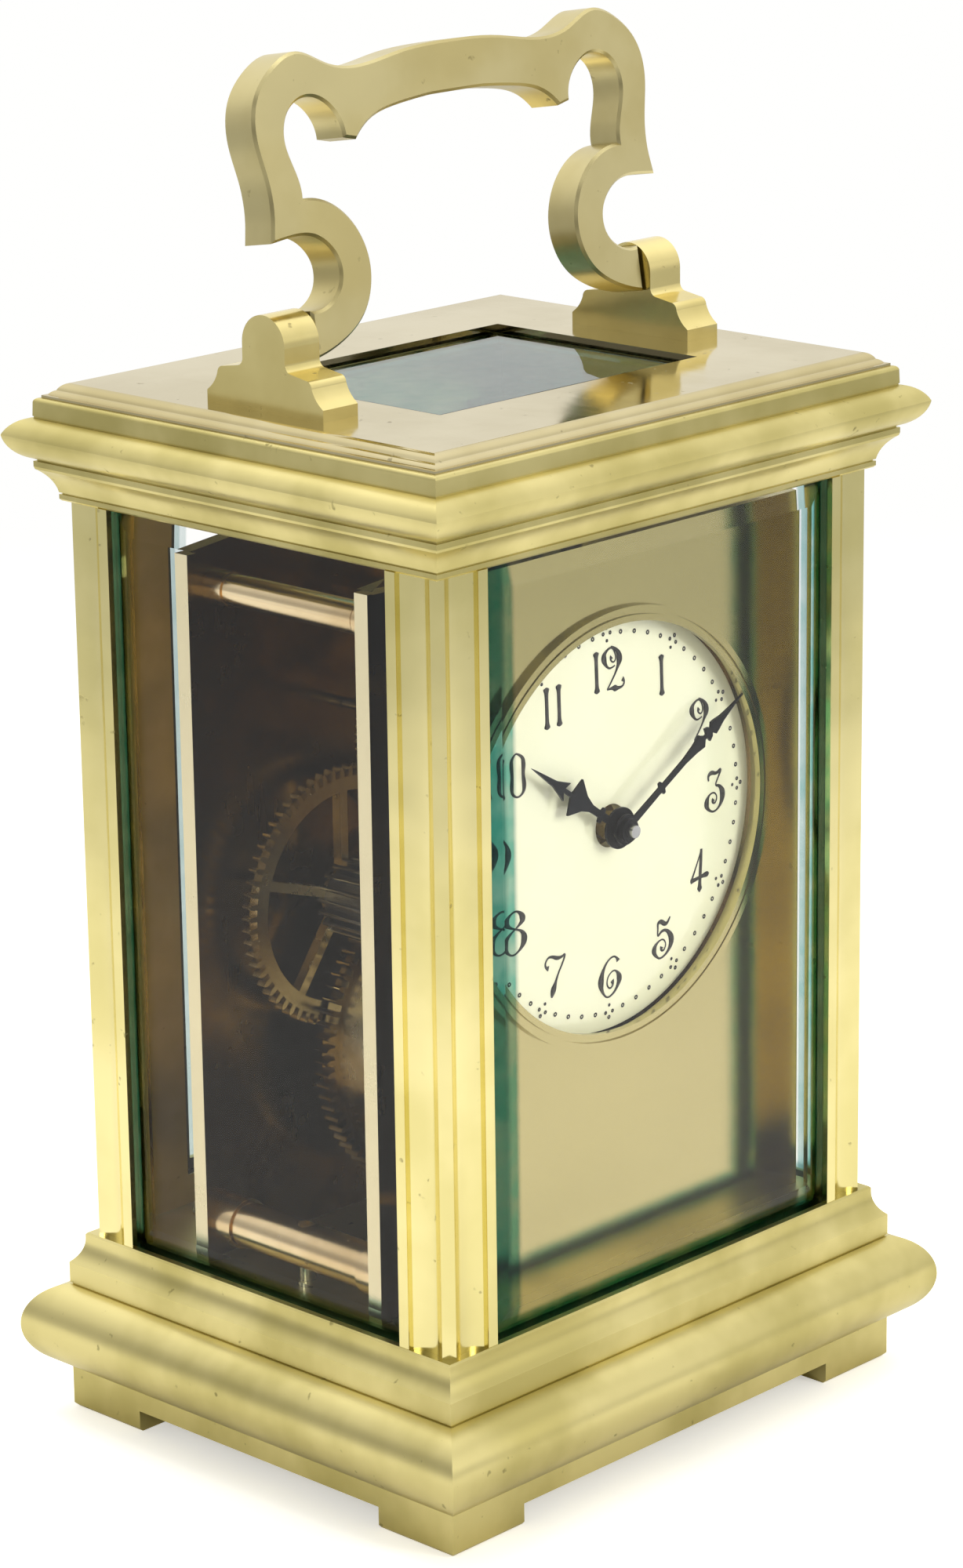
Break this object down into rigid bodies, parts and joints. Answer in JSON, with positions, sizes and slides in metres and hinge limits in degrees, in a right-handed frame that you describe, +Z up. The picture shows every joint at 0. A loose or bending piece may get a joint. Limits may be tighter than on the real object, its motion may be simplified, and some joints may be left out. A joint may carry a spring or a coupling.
{
  "type": "carriage clock",
  "caption": "Brass carriage clock with bevelled glass panels, white enamel dial, visible movement with platform escapement, glazed rear door and folding scrolled handle.",
  "frame": {"origin": "middle of the base at the level of the feet's undersides", "axes": "+Z up, -Y out of the dial side, +X to the right seen from the front"},
  "size_m": [0.0806, 0.0677, 0.1541],
  "materials": {
    "brass_case": "polished, lightly tarnished",
    "brass_mask": "matt gilt",
    "brass_movement": "polished",
    "steel": "polished",
    "spring_steel": "blued",
    "hand_steel": "blued, nearly black",
    "glass": "clear, bevelled",
    "enamel": "glossy white enamel"
  },
  "bodies": {
    "case": {"back_plate": "brass_movement", "balance_cock": "brass_movement", "base": "brass_case", "base_cover": "brass_movement", "case_screws": "steel", "click_spring": "steel", "cornice": "brass_case", "dial": "enamel", "dial_bezel": "brass_case", "dial_mask": "brass_mask", "door_pins": "steel", "fixing_screws": "steel", "front_glass": "glass", "front_plate": "brass_movement", "hairspring": "spring_steel", "handle_pins": "steel", "left_block": "brass_case", "left_glass": "glass", "lever_bridge": "brass_movement", "movement_screws": "steel", "pillar_bottom_left": "brass_movement", "pillar_bottom_right": "brass_movement", "pillar_pins": "steel", "pillar_top_left": "brass_movement", "pillar_top_right": "brass_movement", "platform": "brass_movement", "post_front_left": "brass_case", "post_front_right": "brass_case", "post_rear_left": "brass_case", "post_rear_right": "brass_case", "right_block": "brass_case", "right_glass": "glass", "top_glass": "glass", "top_plate": "brass_case"},
    "handle": {"handle": "brass_case"},
    "door": {"door_frame": "brass_case", "door_glass": "glass", "door_knob": "brass_case"},
    "winding": {"winding_arbor": "steel", "ratchet_wheel": "steel"},
    "click": {"click": "steel"},
    "barrel": {"barrel": "brass_movement", "barrel_cap": "brass_movement", "mainspring": "spring_steel"},
    "intermediate": {"intermediate_arbor": "steel", "intermediate_wheel": "brass_movement"},
    "centre": {"centre_arbor": "steel", "centre_wheel": "brass_movement", "cannon_pinion": "steel", "minute_hand": "hand_steel"},
    "third": {"third_arbor": "steel", "third_wheel": "brass_movement"},
    "contrate": {"contrate_arbor": "steel", "contrate_wheel": "brass_movement"},
    "escape": {"escape_wheel": "steel"},
    "lever": {"lever": "steel"},
    "balance": {"balance": "brass_movement"},
    "minute": {"minute_wheel": "brass_movement"},
    "hour": {"hour_wheel": "brass_movement", "hour_hand": "hand_steel"}
  },
  "joints": [
    {"name": "handle_fold", "type": "hinge", "parent": "case", "child": "handle", "pos_m": [0, 0, 0.125], "axis": [1, 0, 0], "range_deg": [-89.5, 108]},
    {"name": "door_swing", "type": "hinge", "parent": "case", "child": "door", "pos_m": [0.026, 0.027, 0.0631], "axis": [0, 0, -1], "range_deg": [0, 90]},
    {"name": "winding_turn", "type": "hinge", "parent": "case", "child": "winding", "pos_m": [0, 0, 0.0418], "axis": [0, 1, 0], "continuous": true},
    {"name": "click_rock", "type": "hinge", "parent": "case", "child": "click", "pos_m": [0.0075, 0.01475, 0.0486], "axis": [0, 1, 0], "range_deg": [-4, 1]},
    {"name": "centre_turn", "type": "hinge", "parent": "case", "child": "centre", "pos_m": [0, 0, 0.0704], "axis": [0, 1, 0], "continuous": true},
    {"name": "barrel_turn", "type": "hinge", "parent": "case", "child": "barrel", "pos_m": [0, 0, 0.0418], "axis": [0, 1, 0], "continuous": true},
    {"name": "intermediate_turn", "type": "hinge", "parent": "case", "child": "intermediate", "pos_m": [-0.01207, 0, 0.05971], "axis": [0, 1, 0], "continuous": true},
    {"name": "third_turn", "type": "hinge", "parent": "case", "child": "third", "pos_m": [-0.00755, 0, 0.08013], "axis": [0, 1, 0], "continuous": true},
    {"name": "contrate_turn", "type": "hinge", "parent": "case", "child": "contrate", "pos_m": [0, 0, 0.0882], "axis": [0, 1, 0], "continuous": true},
    {"name": "escape_turn", "type": "hinge", "parent": "case", "child": "escape", "pos_m": [0, 0.0034, 0.103], "axis": [0, 0, 1], "continuous": true},
    {"name": "minute_wheel_turn", "type": "hinge", "parent": "case", "child": "minute", "pos_m": [0.00509, -0.016, 0.06531], "axis": [0, 1, 0], "continuous": true},
    {"name": "hour_turn", "type": "hinge", "parent": "case", "child": "hour", "pos_m": [0, -0.016, 0.0704], "axis": [0, 1, 0], "continuous": true},
    {"name": "lever_rock", "type": "hinge", "parent": "case", "child": "lever", "pos_m": [0, 0, 0.1038], "axis": [0, 0, 1], "range_deg": [-5, 5]},
    {"name": "balance_swing", "type": "hinge", "parent": "case", "child": "balance", "pos_m": [0, -0.0063, 0.105], "axis": [0, 0, 1], "range_deg": [-270, 270]}
  ],
  "couplings": [
    {"joint": "intermediate_turn", "follows": "centre_turn", "ratio": -0.13636},
    {"joint": "barrel_turn", "follows": "centre_turn", "ratio": 0.031469},
    {"joint": "third_turn", "follows": "centre_turn", "ratio": -10},
    {"joint": "contrate_turn", "follows": "centre_turn", "ratio": 75},
    {"joint": "escape_turn", "follows": "centre_turn", "ratio": -600},
    {"joint": "minute_wheel_turn", "follows": "centre_turn", "ratio": -0.33333},
    {"joint": "hour_turn", "follows": "centre_turn", "ratio": 0.083333}
  ]
}
